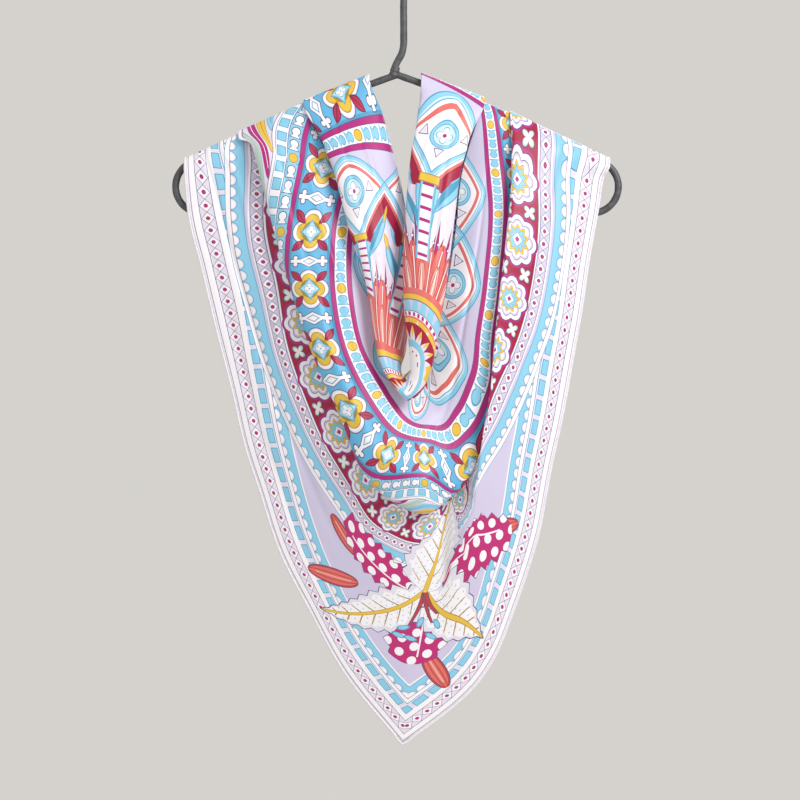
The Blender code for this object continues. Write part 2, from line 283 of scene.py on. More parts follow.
class Field:
    """A number that varies over the cloth. Arithmetic and comparisons with fields or plain numbers add the
    matching math node, so a pattern can be written as a formula."""

    def __init__(self, nodes, links, socket):
        self.nodes = nodes
        self.links = links
        self.socket = socket

    def math(self, operation, *others):
        node = self.nodes.new("ShaderNodeMath")
        node.operation = operation
        for slot, value in enumerate((self, *others)):
            if isinstance(value, Field):
                self.links.new(value.socket, node.inputs[slot])
            else:
                node.inputs[slot].default_value = value
        return Field(self.nodes, self.links, node.outputs[0])

    def __add__(self, other):
        return self.math("ADD", other)

    def __radd__(self, other):
        return self.math("ADD", other)

    def __sub__(self, other):
        return self.math("SUBTRACT", other)

    def __rsub__(self, other):
        return self.math("MULTIPLY", -1.0).math("ADD", other)

    def __mul__(self, other):
        return self.math("MULTIPLY", other)

    def __rmul__(self, other):
        return self.math("MULTIPLY", other)

    def __truediv__(self, other):
        return self.math("DIVIDE", other)

    def __lt__(self, other):
        return self.math("LESS_THAN", other)

    def __gt__(self, other):
        return self.math("GREATER_THAN", other)

    def __and__(self, other):
        return self.math("MULTIPLY", other)

    def __or__(self, other):
        return self.math("MAXIMUM", other)

    def __abs__(self):
        return self.math("ABSOLUTE")

    def sine(self):
        return self.math("SINE")

    def cosine(self):
        return self.math("COSINE")

    def root(self):
        return self.math("SQRT")

    def floor(self):
        return self.math("FLOOR")

    def remainder(self, other):
        return self.math("FLOORED_MODULO", other)

    def between(self, low, high):
        return (self > low) & (self < high)


def length_of(x, y):
    """Distance from the origin of a pair of fields."""
    return (x * x + y * y).root()


def angle_of(x, y):
    """Angle of a pair of fields, in radians, from the first towards the second."""
    return y.math("ARCTAN2", x)


class Print:
    """One screen-printed area of the silk: a material whose colour is built up like the print itself, one
    flat colour over another, each where its own formula says."""

    def __init__(self, name, ground):
        self.material = bpy.data.materials.new(name)
        self.material.use_nodes = True
        tree = self.material.node_tree
        self.nodes = tree.nodes
        self.links = tree.links
        place = self.nodes.new("ShaderNodeUVMap")
        place.uv_map = "cloth"
        parts = self.nodes.new("ShaderNodeSeparateXYZ")
        self.links.new(place.outputs["UV"], parts.inputs[0])
        self.place = place
        self.across = Field(self.nodes, self.links, parts.outputs[0]) * 1000.0
        self.up = Field(self.nodes, self.links, parts.outputs[1]) * 1000.0
        self.colour = None
        self.ground = ground

    def paint(self, colour, where):
        """Lays one flat colour over what is there, where the field is one."""
        mix = self.nodes.new("ShaderNodeMix")
        mix.data_type = "RGBA"
        self.links.new(where.socket, mix.inputs["Factor"])
        if self.colour is None:
            mix.inputs["A"].default_value = (*self.ground, 1)
        else:
            self.links.new(self.colour, mix.inputs["A"])
        mix.inputs["B"].default_value = (*colour, 1)
        self.colour = mix.outputs["Result"]

    def rings(self, distance, bands):
        """Flat bands: each colour from its own distance outwards, laid on in order."""
        for start, colour in bands:
            self.paint(colour, distance > start)

    def repeat(self, position, pitch, offset=0.0):
        """Position within one of many equal cells, from its middle."""
        return (position - offset + pitch / 2).remainder(pitch) - pitch / 2

    def turned(self, x, y, degrees):
        """A pair of fields seen from axes turned by that angle."""
        c, s = math.cos(math.radians(degrees)), math.sin(math.radians(degrees))
        return x * c + y * s, y * c - x * s

    def finished(self):
        """The silk under the print: satin twill, with a fine diagonal rib and a soft sheen."""
        shader = self.nodes["Principled BSDF"]
        self.links.new(self.colour, shader.inputs["Base Color"])
        shader.inputs["Roughness"].default_value = 0.42
        shader.inputs["Specular IOR Level"].default_value = 0.42
        shader.inputs["Sheen Weight"].default_value = 0.1
        shader.inputs["Sheen Roughness"].default_value = 0.4
        shader.inputs["Sheen Tint"].default_value = (0.9, 0.9, 1.0, 1)
        ribs = ((self.across + self.up) * (2 * math.pi / 1.6)).sine() * 0.5
        threads = ((self.across - self.up) * (2 * math.pi / 0.9)).sine() * 0.2
        bump = self.nodes.new("ShaderNodeBump")
        bump.inputs["Strength"].default_value = 0.12
        bump.inputs["Distance"].default_value = 0.0004
        self.links.new((ribs + threads).socket, bump.inputs["Height"])
        cloud = self.nodes.new("ShaderNodeTexNoise")
        cloud.inputs["Scale"].default_value = 14.0
        cloud.inputs["Detail"].default_value = 3.0
        self.links.new(self.place.outputs["UV"], cloud.inputs["Vector"])
        crush = self.nodes.new("ShaderNodeBump")
        crush.inputs["Strength"].default_value = 0.35
        crush.inputs["Distance"].default_value = 0.004
        self.links.new(cloud.outputs["Fac"], crush.inputs["Height"])
        self.links.new(crush.outputs["Normal"], bump.inputs["Normal"])
        self.links.new(bump.outputs["Normal"], shader.inputs["Normal"])
        return self.material


def srgb(text):
    """A printed colour given as six hexadecimal digits, made linear."""
    values = np.array([int(text[i : i + 2], 16) for i in (0, 2, 4)]) / 255
    linear = np.where(values <= 0.04045, values / 12.92, ((values + 0.055) / 1.055) ** 2.4)
    return tuple(float(v) for v in linear)


WHITE = srgb("F6F3FA")
LILAC = srgb("CFC9E6")
PALE_LILAC = srgb("E3DEF0")
SKY = srgb("8CCDEB")
RING_SKY = srgb("62B5E2")
BLUE = srgb("4E9CC4")
INK = srgb("564A7C")
CRIMSON = srgb("A50F3C")
MAGENTA = srgb("B3237E")
CORAL = srgb("DE6F6B")
YELLOW = srgb("E6BF45")
SAGE = srgb("B9D3C8")
GREY_GREEN = srgb("9DB0A0")
HEM_GREY = srgb("9A93B4")
OCHRE = srgb("A8862C")
CRIMSON_CORAL = srgb("B8423F")
PALE_CORAL = srgb("EFA79C")
SPOT_PINK = srgb("BE2A76")
LEAF_SHADE = srgb("E2DFEE")
MAROON = srgb("7E1440")
CRIMSON_ROSE = srgb("B52A55")
PALE_SKY = srgb("C9E6F2")

# The border, from the cut edge inwards: a white margin, a trellis with a dot in every diamond, a white
# line, a row of dashes, and a scalloped edging. It runs the same along every side and mitres at corners.
TRELLIS = SIDE / 84
DASH = SIDE / 52


def border_print(area):
    """Bands by distance from the nearer cut edge, and cells by distance along it from the front corner."""
    spread_out = abs(area.across)
    inwards = (area.up - spread_out) / math.sqrt(2)
    along = (area.up + spread_out) / math.sqrt(2)
    area.rings(inwards * -1.0, [(-50.2, WHITE), (-48.5, BLUE), (-48.0, SKY), (-38.0, WHITE), (-34.1, BLUE),
                                (-33.4, PALE_LILAC), (-25.0, WHITE), (-19.4, INK), (-18.9, PALE_LILAC), (-8.1, INK),
                                (-7.6, WHITE), (-2.4, HEM_GREY), (-1.6, WHITE)])
    x = area.repeat(along, TRELLIS, TRELLIS / 2)
    y = inwards - 13.5
    trellis = inwards.between(8.1, 18.9)
    diamond = abs(x) / (TRELLIS / 2) + abs(y) / 5.4
    area.paint(INK, trellis & diamond.between(0.93, 1.03))
    area.paint(WHITE, trellis & (diamond < 0.93))
    area.paint(MAROON, length_of(x, y) < 1.7)
    area.paint(MAGENTA, length_of(x, y) < 1.3)
    x = abs(area.repeat(along, DASH, DASH / 2))
    area.paint(BLUE, (x < 6.6) & inwards.between(24.8, 32.2))
    area.paint(SKY, (x < 5.9) & inwards.between(25.5, 31.5))
    x = area.repeat(along, TRELLIS, 0.0)
    bulge = length_of(x, inwards - 38.0)
    band = inwards.between(38.0, 44.0)
    area.paint(BLUE, (bulge < 5.2) & band)
    area.paint(PALE_LILAC, (bulge < 4.6) & band)
    area.paint(WHITE, (bulge < 3.6) & band)
    area.paint(INK, inwards.between(37.6, 38.1))


def ringed(area):
    """Distance from the square's middle, and the turn round it in degrees from the front corner."""
    upward = HALF_DIAGONAL - area.up
    return length_of(area.across, upward), angle_of(upward, area.across) * (180 / math.pi)


# The outermost rings of the round print: scallops, a trellis, then a broad crimson ring set with
# forty-eight eight-lobed rosettes and a small clover between each pair, inside and outside.
BEADS = 360 / 248


def rosette_print(area):
    """Bands by distance from the middle, and cells by the turn round it."""
    radius, degrees = ringed(area)
    area.rings(radius * -1.0, [(-425.5, BLUE), (-425.0, WHITE), (-421.3, BLUE), (-420.8, SKY), (-410.6, BLUE),
                               (-410.0, LILAC), (-407.6, WHITE), (-406.1, INK), (-405.6, LILAC), (-395.8, INK),
                               (-395.2, WHITE), (-393.6, INK), (-393.0, CRIMSON), (-352.7, INK), (-352.0, WHITE),
                               (-346.6, INK)])
    bead = area.repeat(degrees, BEADS, BEADS / 2)
    x = bead * (math.pi / 180 * 400.8)
    y = radius - 400.7
    diamond = abs(x) / 5.07 + abs(y) / 4.9
    area.paint(INK, diamond.between(0.93, 1.03) & (abs(y) < 4.9))
    area.paint(WHITE, (diamond < 0.93) & (abs(y) < 4.9))
    area.paint(MAROON, length_of(x, y) < 1.7)
    area.paint(MAGENTA, length_of(x, y) < 1.3)
    x = bead * (math.pi / 180 * 420.0)
    bulge = length_of(x, radius - 421.0)
    area.paint(BLUE, (bulge < 5.2) & radius.between(414, 421))
    area.paint(PALE_LILAC, (bulge < 4.6) & radius.between(414, 421.2))
    area.paint(WHITE, (bulge < 3.6) & radius.between(414, 421.2))
    area.paint(INK, radius.between(420.9, 421.4))
    half_way = area.repeat(degrees, 7.5, 3.75) * (math.pi / 180 * 373.0)
    for height, tint in ((384.5, WHITE), (360.5, PALE_LILAC)):
        x = half_way * (height / 373.0)
        y = radius - height
        out = length_of(x, y)
        leaf = abs((angle_of(x, y) * 2).sine())
        area.paint(INK, out < leaf * 4.6 + 2.8)
        area.paint(SAGE, out < leaf * 4.6 + 2.0)
        area.paint(tint, out < leaf * 4.2 + 1.0)
    x = area.repeat(degrees, 7.5) * (math.pi / 180 * 373.0)
    y = radius - 373.0
    out = length_of(x, y)
    turn = angle_of(x, y)
    lobes = abs((turn * 4).cosine())
    area.paint(MAGENTA, out < lobes * 2.6 + 19.4)
    area.paint(INK, out < lobes * 3.2 + 17.4)
    area.paint(WHITE, out < lobes * 3.2 + 16.6)
    area.paint(LILAC, (out - lobes * 3.2).between(10.6, 12.4))
    area.paint(INK, (out - lobes * 3.2).between(12.4, 13.0))
    spike = abs(area.repeat(turn, math.pi / 5)) * (10 / math.pi)
    area.paint(OCHRE, out < spike * -3.6 + 12.4)
    area.paint(YELLOW, out < spike * -3.6 + 11.8)
    area.paint(BLUE, out < spike * -3.4 + 9.8)
    area.paint(SKY, out < spike * -3.4 + 9.1)
    area.paint(BLUE, (abs(x) + abs(y)) < 5.9)
    area.paint(WHITE, (abs(x) + abs(y)) < 5.2)
    area.paint(MAGENTA, (abs(x) + abs(y)) < 2.4)


edge_print = Print("silk edge and rosettes", LILAC)
border_print(edge_print)
rosette_print(edge_print)
edge_silk = edge_print.finished()


# The corner spray, printed over the border and the rings: three white toothed leaves with yellow veins,
# spotted magenta petals between them, coral buds, and a crimson stem with small blue berries.
spray = Print("silk corner spray", LILAC)
border_print(spray)
rosette_print(spray)
SPRAY_HEART = 185.0
SPRAY_SHIFT = 6.0


def laid_out(area, x, y, degrees):
    """Fields along and across a shape that starts at that place and points that many degrees clockwise from
    straight up the diagonal."""
    c, s = math.cos(math.radians(degrees)), math.sin(math.radians(degrees))
    right = area.across - (x + SPRAY_SHIFT)
    up = area.up - (SPRAY_HEART + y)
    return right * s + up * c, right * c - up * s


def bud(area, x, y, degrees, length, width):
    """A pointed oval in coral, darker at its rim, with two darker lines along it."""
    u, v = laid_out(area, x, y, degrees)
    part = u / length
    shape = (part * (1.0 - part)).math("MAXIMUM", 0.0).root() * width
    area.paint(INK, (abs(v) < shape + 0.7) & part.between(0.0, 1.0))
    area.paint(CRIMSON_CORAL, abs(v) < shape)
    area.paint(CORAL, abs(v) < shape - 1.6)
    area.paint(CRIMSON_CORAL, (abs(abs(v) - shape * 0.36) < 0.5) & (abs(v) < shape))
    area.paint(PALE_CORAL, (abs(v) < 0.8) & part.between(0.15, 0.85))


def petal(area, x, y, degrees, length, width, bend):
    """A magenta petal with a torn edge: half its width is an arch along it plus fine teeth. White spots lie
    on it in staggered rows, and a white line runs down it."""
    u, v = laid_out(area, x, y, degrees)
    part = u / length
    v = v - (part * part) * bend
    tooth = (abs(area.repeat(u, 15.0)) - 4.0) * 0.8
    shape = (part * (1.08 - part)).math("MAXIMUM", 0.0).root() * width + tooth * (part > 0.2)
    inside = part.between(0.0, 1.06)
    area.paint(INK, (abs(v) < shape + 0.8) & inside)
    area.paint(SPOT_PINK, (abs(v) < shape) & inside)
    row = ((v + 6.5) / 13.0).floor()
    spot = length_of(area.repeat(u + row * 8.5, 17.0, 4.0) / 1.2, area.repeat(v, 13.0))
    area.paint(WHITE, (spot < 4.3) & (abs(v) < shape) & inside)
    area.paint(WHITE, (abs(v + 4.5) < 0.8) & part.between(0.0, 0.9))


def leaf(area, degrees, length, width, bend):
    """A white leaf: half its width is a rounded arch that narrows to the tip, with saw teeth along it. Its
    midrib and slanted side veins are yellow, and rows of small blue dots lie between them."""
    u, v = laid_out(area, 0.0, 0.0, degrees)
    part = u / length
    v = v - (part * (1.0 - part)) * bend
    tooth = abs(area.repeat(u - abs(v) * 0.5, 15.0)) * 0.8
    arch = ((part * 1.02).math("MAXIMUM", 0.0).math("POWER", 0.62) * math.pi).sine()
    shape = arch * width - tooth * (1.1 - part) * 1.2 + 2.4 * (1.0 - part)
    inside = part.between(-0.01, 1.0)
    blade = (abs(v) < shape) & inside
    area.paint(INK, (abs(v) < shape + 0.9) & inside)
    area.paint(WHITE, blade)
    area.paint(LEAF_SHADE, blade & (abs(v) > shape * 0.78))
    row = ((v + 2.5) / 5.0).floor()
    dot = length_of(area.repeat(u + row * 3.5, 7.0), area.repeat(v, 5.0))
    area.paint(SKY, (dot < 0.75) & (abs(v) < shape * 0.8) & inside)
    vein = (u - abs(v) * 0.95).remainder(15.0)
    area.paint(OCHRE, (vein < 1.9 - abs(v) * 0.05) & (abs(v) < shape * 0.72) & (part > 0.1) & inside)
    rib = 2.3 - part * 1.7
    area.paint(OCHRE, (abs(v) < rib + 0.5) & part.between(0.0, 0.97))
    area.paint(YELLOW, (abs(v) < rib) & part.between(0.0, 0.96))


for x, y, degrees, length, width in (
    (-70, -16, -116, 56, 18), (-76, 14, -66, 46, 14), (66, -2, 100, 64, 17), (4, -74, 156, 54, 16),
):
    bud(spray, x, y, degrees, length, width)
petal(spray, -12, 4, -76, 92, 36, 16)
petal(spray, 12, -2, 104, 100, 42, -12)
petal(spray, -3, -30, 184, 56, 52, 0)
leaf(spray, 146, 108, 24.0, 4)
leaf(spray, -127, 126, 24.0, -16)
leaf(spray, 16, 96, 34.0, -6)
for degrees, length, bend in ((190, 46, 6), (178, 40, -8), (168, 32, -8)):
    u, v = laid_out(spray, 0.0, 0.0, degrees)
    v = v - (u / length) * (u / length) * bend
    thick = 3.0 - u * 0.04
    spray.paint(INK, (abs(v) < thick) & u.between(2, length))
    spray.paint(CRIMSON_CORAL, (abs(v) < thick - 0.7) & u.between(2, length - 0.7))
for x, y, degrees in (
    (-18, -46, 70), (-10, -58, 110), (-2, -38, 20), (9, -56, 130), (14, -42, 160), (-22, -56, 100),
):
    u, v = laid_out(spray, x, y, degrees)
    spray.paint(BLUE, length_of(u * 0.42, v) < 2.9)
    spray.paint(SKY, length_of(u * 0.42, v) < 2.2)
spray_silk = spray.finished()

# The middle rings: slanted feathers, dashes, bells with yellow dots, and a blue ring of thirty-two
# four-petalled yellow flowers with crimson leaves, edged in magenta.
flower_ring = Print("silk flower ring", MAGENTA)
radius, degrees = ringed(flower_ring)
flower_ring.rings(
    radius,
    [
        (254.0, INK), (254.6, RING_SKY), (293.4, INK), (294.0, MAGENTA), (298.0, INK), (298.5, SKY), (310.0, INK),
        (310.6, WHITE), (321.0, BLUE), (321.6, WHITE), (324.0, INK), (324.6, SKY), (346.8, INK), (347.4, WHITE),
        (352.0, INK), (352.6, CRIMSON),
    ],
)
slant = degrees * 1.0 + (radius - 324.0) * 0.42
height = (radius - 324.6) / 22.2
inside = radius.between(324.6, 346.8)
half_leaf = (height * (1.0 - height)).math("MAXIMUM", 0.0).root() * 16.5
flower_ring.paint(PALE_LILAC, inside)
for start, tint, vein in (
    (1.9, YELLOW, OCHRE), (5.6, MAGENTA, WHITE), (9.4, SAGE, GREY_GREEN), (13.1, SKY, BLUE),
):
    across_leaf = abs(flower_ring.repeat(slant, 15.0, start)) * (math.pi / 180 * 335.0)
    flower_ring.paint(INK, inside & (across_leaf < half_leaf + 1.4))
    flower_ring.paint(tint, inside & (across_leaf < half_leaf + 0.7))
    flower_ring.paint(vein, inside & (across_leaf < 0.8) & height.between(0.1, 0.9))
dash = abs(flower_ring.repeat(degrees, 2.5, 1.25)) * (math.pi / 180 * 315.0)
flower_ring.paint(BLUE, (dash < 4.6) & radius.between(311.6, 320.2))
flower_ring.paint(SKY, (dash < 3.9) & radius.between(312.3, 319.5))


def bells(area, x, y, outline, tint):
    """A row of little tulips lying along a ring: a round bud, and a mouth that flares towards one side."""
    bud_shape = length_of((x + 1.2) / 4.0, y / 4.3)
    mouth = abs(y) - (x - 1.6) * 0.9
    area.paint(outline, bud_shape < 1.0)
    area.paint(outline, (mouth < 2.3) & x.between(0.0, 5.2))
    area.paint(tint, bud_shape < 0.83)
    area.paint(tint, (mouth < 1.7) & x.between(0.0, 4.6))


bell = flower_ring.repeat(degrees, 2.25, 1.125) * (math.pi / 180 * 304.0)
bells(flower_ring, bell, radius - 304.2, INK, WHITE)
knob = flower_ring.repeat(degrees, 11.25, 5.625) * (math.pi / 180 * 304.0)
flower_ring.paint(SKY, length_of(knob, radius - 304.2) < 6.4)
flower_ring.paint(OCHRE, length_of(knob, radius - 304.2) < 4.6)
flower_ring.paint(YELLOW, length_of(knob, radius - 304.2) < 3.9)
flower_ring.paint(BLUE, radius.between(254.6, 293.4) & ((radius - 274.0).math("ABSOLUTE") > 17.2))
x = abs(flower_ring.repeat(degrees, 11.25, 0.0) * (math.pi / 180 * 274.0))
y = abs(radius - 274.0)
for grow, tint in ((0.8, INK), (0.0, WHITE)):
    flower_ring.paint(tint, (x / (5.4 + grow) + y / (11.5 + grow)) < 1)
    flower_ring.paint(tint, (x < 1.5 + grow) & (y < 17.6 + grow))
    flower_ring.paint(tint, length_of(x - 3.2, y - 13.0) < 1.9 + grow)
flower_ring.paint(BLUE, (x / 3.4 + y / 6.4) < 1)
flower_ring.paint(WHITE, (x / 2.5 + y / 5.0) < 1)
x = flower_ring.repeat(degrees, 11.25, 5.625) * (math.pi / 180 * 274.0)
y = radius - 274.0
out = length_of(x, y)
wide = abs(x).math("MAXIMUM", abs(y))
narrow = abs(x).math("MINIMUM", abs(y))
slope = (wide + narrow) * 0.7071
aslant = (wide - narrow) * 0.7071
halo = length_of(wide - 9.0, narrow)
flower_ring.paint(INK, halo < 9.6)
flower_ring.paint(PALE_LILAC, halo < 8.9)
flower_ring.paint(WHITE, halo < 7.9)
blade = aslant / 3.6 + ((slope - 17.0) / 7.6) * ((slope - 17.0) / 7.6)
flower_ring.paint(MAROON, blade < 1.0)
flower_ring.paint(CRIMSON_ROSE, blade < 0.72)
flower_ring.paint(MAROON, (aslant < 0.4) & slope.between(10, 23))
lobe = length_of(wide - 7.9, narrow)
flower_ring.paint(OCHRE, lobe < 6.9)
flower_ring.paint(YELLOW, lobe < 6.2)
flower_ring.paint(OCHRE, (lobe < 6.2) & (out < 8.6))
pinch = wide + narrow * 1.35
flower_ring.paint(BLUE, pinch < 10.6)
flower_ring.paint(SKY, pinch < 9.4)
flower_ring.paint(PALE_SKY, pinch < 7.6)
four = abs((angle_of(x, y) * 2).cosine())
flower_ring.paint(BLUE, out < four * 3.4 + 2.2)
flower_ring.paint(WHITE, out < four * 3.2 + 1.7)
flower_ring.paint(BLUE, out < 0.7)
flower_silk = flower_ring.finished()

# The arcade inside the rings: striped columns with a roundel on each capital carry crossed crimson
# arches; leaves and feathered plumes grow between them, and a many-pointed star fills the middle.
arcade = Print("silk arcade", LILAC)
radius, degrees = ringed(arcade)
bay = arcade.repeat(degrees, 22.5, 11.25)
gap = arcade.repeat(degrees, 22.5, 0.0)
x = gap * (math.pi / 180) * radius
y = radius
column_x = bay * (math.pi / 180) * radius
# Round arcs spring from the columns and cross midway. The outer one is closed by a white field, and the
# pointed arch under the crossing by a coral and crimson edge with a scalloped blue line.


def arc_depth(from_column):
    """How deep a place lies inside the arc over a column, square to the arc: its top is at 232 over the
    column, and it falls by the 1.5 power of the turn from the column to 165 at the next one."""
    part = from_column * (1 / 22.5)
    steep = part.root() * (67 * 1.5 / 22.5 * 180 / math.pi) / radius
    return (232.0 - part * part.root() * 67.0 - radius) / (steep * steep + 1.0).root()


outer_depth = arc_depth(abs(bay))
inner_depth = arc_depth(22.5 - abs(bay))
STRIPES = ((0.0, BLUE), (0.8, SKY), (3.4, PALE_SKY), (4.6, BLUE), (5.2, WHITE), (7.4, CORAL), (10.4, WHITE))
above = radius > 150
for depth, tint in STRIPES:
    arcade.paint(tint, (outer_depth > depth) & above)
for depth, tint in STRIPES[:-1]:
    arcade.paint(tint, (inner_depth > depth) & above)
arcade.paint(MAROON, (inner_depth > 10.0) & above)
arcade.paint(CRIMSON, (inner_depth > 10.6) & above)
scallop = abs((radius * 0.2 + abs(x) * 0.16).sine()) * 2.4
for depth, tint in ((17.6, BLUE), (18.3, SKY), (20.0, BLUE), (20.6, PALE_LILAC)):
    arcade.paint(tint, (inner_depth - scallop > depth) & above)
arcade.paint(PALE_LILAC, radius.between(60, 150.5))
arcade.paint(BLUE, radius.between(120, 152) & (abs(column_x) < 10.4 - (152.0 - radius) * 0.1))
arcade.paint(SKY, radius.between(120, 152) & (abs(column_x) < 9.6 - (152.0 - radius) * 0.1))
# Curved leaves rise in pairs inside each arch, each with a darker half and a thin yellow flame at its tip.
for side, foot, low, tall, bend in ((1, 9.0, 132.0, 23.0, 10.0), (-1, 12.0, 112.0, 20.0, 9.0)):
    v = (radius - low - tall) / tall
    u = (x * side - foot + v * bend)
    body = abs(u) / 6.4 + v * v
    arcade.paint(BLUE, body < 1.0)
    arcade.paint(SKY, body < 0.82)
    arcade.paint(BLUE, (body < 0.82) & (u > 0))
    v = (radius - low - tall * 2.0) / 8.5
    u = x * side - foot + bend + v * 2.5
    arcade.paint(OCHRE, (abs(u) / 2.3 + v * v) < 1)
    arcade.paint(YELLOW, (abs(u) / 1.6 + v * v * 1.2) < 1)
# Thin magenta plumes with pearls at their feet, and broad coral and pale feathers below them.
for pitch, lean, foot, tip in ((3.75, 0.03, 96.0, 118.0), (5.625, -0.05, 96.0, 130.0)):
    height = (radius - foot) / (tip - foot)
    turned = arcade.repeat(degrees + (radius - foot) * lean, pitch, pitch / 2)
    plume = abs(turned) * (math.pi / 180) * radius
    arcade.paint(MAROON, (plume < (1.0 - height) * 2.6) & height.between(0, 1))
    arcade.paint(MAGENTA, (plume < (1.0 - height) * 2.6 - 0.6) & height.between(0, 1))
pearl = length_of(arcade.repeat(degrees, 2.8125) * (math.pi / 180 * 110.0), radius - 110.0)
arcade.paint(INK, pearl < 1.5)
arcade.paint(WHITE, pearl < 1.1)
for turn_from, outer, half, light, dark in (
    (2.8125, 98.0, 4.4, SAGE, GREY_GREEN), (8.4375, 98.0, 4.4, PALE_SKY, GREY_GREEN),
    (5.625, 106.0, 5.4, CORAL, CRIMSON_CORAL), (0.0, 112.0, 7.0, CORAL, CRIMSON_CORAL),
    (0.0, 92.0, 4.0, PALE_CORAL, CRIMSON_CORAL),
):
    feather = arcade.repeat(degrees, 11.25, turn_from) * (math.pi / 180) * radius
    height = (radius - 58.0) / (outer - 58.0)
    shape = abs(feather) - (height * (1.0 - height)).math("MAXIMUM", 0.0).root() * half * 2.0
    arcade.paint(dark, (shape < 0.2) & height.between(0, 1))
    arcade.paint(light, (shape < -0.5) & height.between(0, 1))
    arcade.paint(dark, (abs(abs(feather) + height * 4.0 - 4.0) < 0.3) & (shape < -0.5) & height.between(0, 1))
    arcade.paint(WHITE, (abs(feather) < 0.45) & (shape < -0.5) & height.between(0, 0.9))
# Columns: white shafts striped in magenta, blue at their edges, under narrow yellow capitals.
shaft = radius.between(92, 155)
arcade.paint(BLUE, shaft & (abs(column_x) < 7.0))
arcade.paint(SKY, shaft & (abs(column_x) < 6.2))
arcade.paint(WHITE, shaft & (abs(column_x) < 5.0))
stripe = arcade.repeat(radius, 9.6)
arcade.paint(MAGENTA, shaft & (abs(column_x) < 5.0) & (abs(stripe) < 1.3))
arcade.paint(OCHRE, radius.between(154.6, 162.4) & (abs(column_x) < 8.8))
arcade.paint(YELLOW, radius.between(155.4, 161.6) & (abs(column_x) < 8.1))
# Roundels in the white fields, with a small outlined triangle below each and one on either side.
for centre_x, centre_r, sign in ((0.0, 178.0, 1.0), (20.0, 210.0, -1.0)):
    u = abs(abs(column_x) - centre_x)
    v = (radius - centre_r) * sign
    for grow, tint in ((0.0, INK), (0.9, WHITE), (1.8, PALE_LILAC)):
        arcade.paint(tint, (u < (v - grow * 1.6) * 0.5) & (v < 10.0 - grow))
out = length_of(column_x, radius - 202.0)
for limit, tint in ((13.6, BLUE), (12.8, SKY), (10.6, BLUE), (10.0, PALE_SKY)):
    arcade.paint(tint, out < limit)
turn = angle_of(column_x, radius - 202.0)
four = abs((turn * 2).cosine())
arcade.paint(BLUE, out < four * 4.8 + 3.6)
arcade.paint(WHITE, out < four * 4.6 + 3.0)
arcade.paint(MAGENTA, out < 1.9)
arcade_rings = [
    (231.6, LILAC), (233.4, INK), (234.0, MAGENTA), (238.0, INK), (238.5, WHITE), (249.6, INK), (250.2, MAGENTA),
]
arcade.rings(radius, arcade_rings)
bells(arcade, arcade.repeat(degrees, 2.25, 1.125) * (math.pi / 180 * 304.0), radius - 244.0, BLUE, SKY)
knob = arcade.repeat(degrees, 11.25, 5.625) * (math.pi / 180 * 244.0)
arcade.paint(WHITE, length_of(knob, radius - 244.0) < 5.6)
arcade.paint(OCHRE, length_of(knob, radius - 244.0) < 4.4)
arcade.paint(YELLOW, length_of(knob, radius - 244.0) < 3.7)
arcade.paint(CORAL, radius < 66.0)
arcade_silk = arcade.finished()

# The middle of the round print: a yellow ring, a white ring with magenta dashes, and a star of spokes.
hub = Print("silk centre", PALE_LILAC)
radius, degrees = ringed(hub)
hub.paint(CORAL, radius < 64.0)
hub.paint(YELLOW, radius < 60.5)
hub.paint(INK, radius < 56.2)
hub.paint(SKY, radius < 55.4)
spoke = abs(hub.repeat(degrees, 11.25, 0.0))
hub.paint(LILAC, (radius < 55.4) & (spoke * 4.0 < (radius - 44.0)))
hub.paint(INK, radius < 45.4)
hub.paint(WHITE, radius < 44.8)
hub.paint(MAGENTA, radius.between(40.5, 44.2) & (abs(hub.repeat(degrees, 7.5, 3.75)) < 1.9))
hub.paint(CORAL, radius < 40.0)
hub.paint(PALE_LILAC, radius < 38.4)
spoke = abs(hub.repeat(degrees, 22.5, 0.0)) / 11.25
hub.paint(YELLOW, (radius < 38.4) & ((spoke * 18.0 + 20.0) < radius))
hub.paint(CRIMSON, (radius < 34.0) & ((1.0 - spoke) * 14.0 + 18.0 < radius))
hub.paint(SKY, radius < 18.5)
hub.paint(WHITE, radius < 12.0)
hub.paint(CRIMSON, radius.between(7.0, 8.6) & (abs(hub.repeat(degrees, 45.0, 0.0)) < 7.0))
hub_silk = hub.finished()


silk_materials = [edge_silk, spray_silk, flower_silk, arcade_silk, hub_silk]


def zone_of(flat):
    """Which printed area a place on the flat square belongs to, by its distance from the middle, with the
    corner spray on its own. The areas meet inside lines of one colour."""
    radius = np.hypot(flat[:, 0], HALF_DIAGONAL - flat[:, 1])
    corner = (np.abs(flat[:, 0]) < 140) & (flat[:, 1] < 290)
    zone = np.where(corner, 1, 0)
    zone = np.where(radius < 349.5, 2, zone)
    zone = np.where(radius < 252, 3, zone)
    return np.where(radius < 62.5, 4, zone)


left_side = table(LEFT_SIDE)
right_side = table(RIGHT_SIDE)
front_corner = len(left_side["edge_x"]) - 1 + OVER
edge_flat = np.concatenate([on_edge(left_side["edge_t"], -1), on_edge(right_side["edge_t"], 1)])
edge_keys = ("edge_x", "edge_y", "edge_z")
both_sides = {key: np.concatenate([left_side[key], right_side[key]]) for key in edge_keys}
HEM_LIFT = 1.2
edge = between_arms(
    -HALF_SPAN, on_edge(547.0, -1), line_of(both_sides, "edge", edge_flat), HALF_SPAN, on_edge(543.0, 1),
    FIRST_LAYER + HEM_LIFT,
)
fold_line = line_of(left_side, "fold", on_ring(left_side["fold_r"], left_side["fold_a"]))
fold_left = np.concatenate([over_arm(-134, FIRST_LAYER, on_ring(414.0, 63.3), fold_line[0, 3:]), fold_line])
edge_left = edge[: len(fold_left)]
ridge_line = line_of(right_side, "ridge", on_ring(right_side["ridge_r"], right_side["ridge_a"]))
inner_line = line_of(right_side, "inner", on_ring(right_side["inner_r"], right_side["inner_a"]))
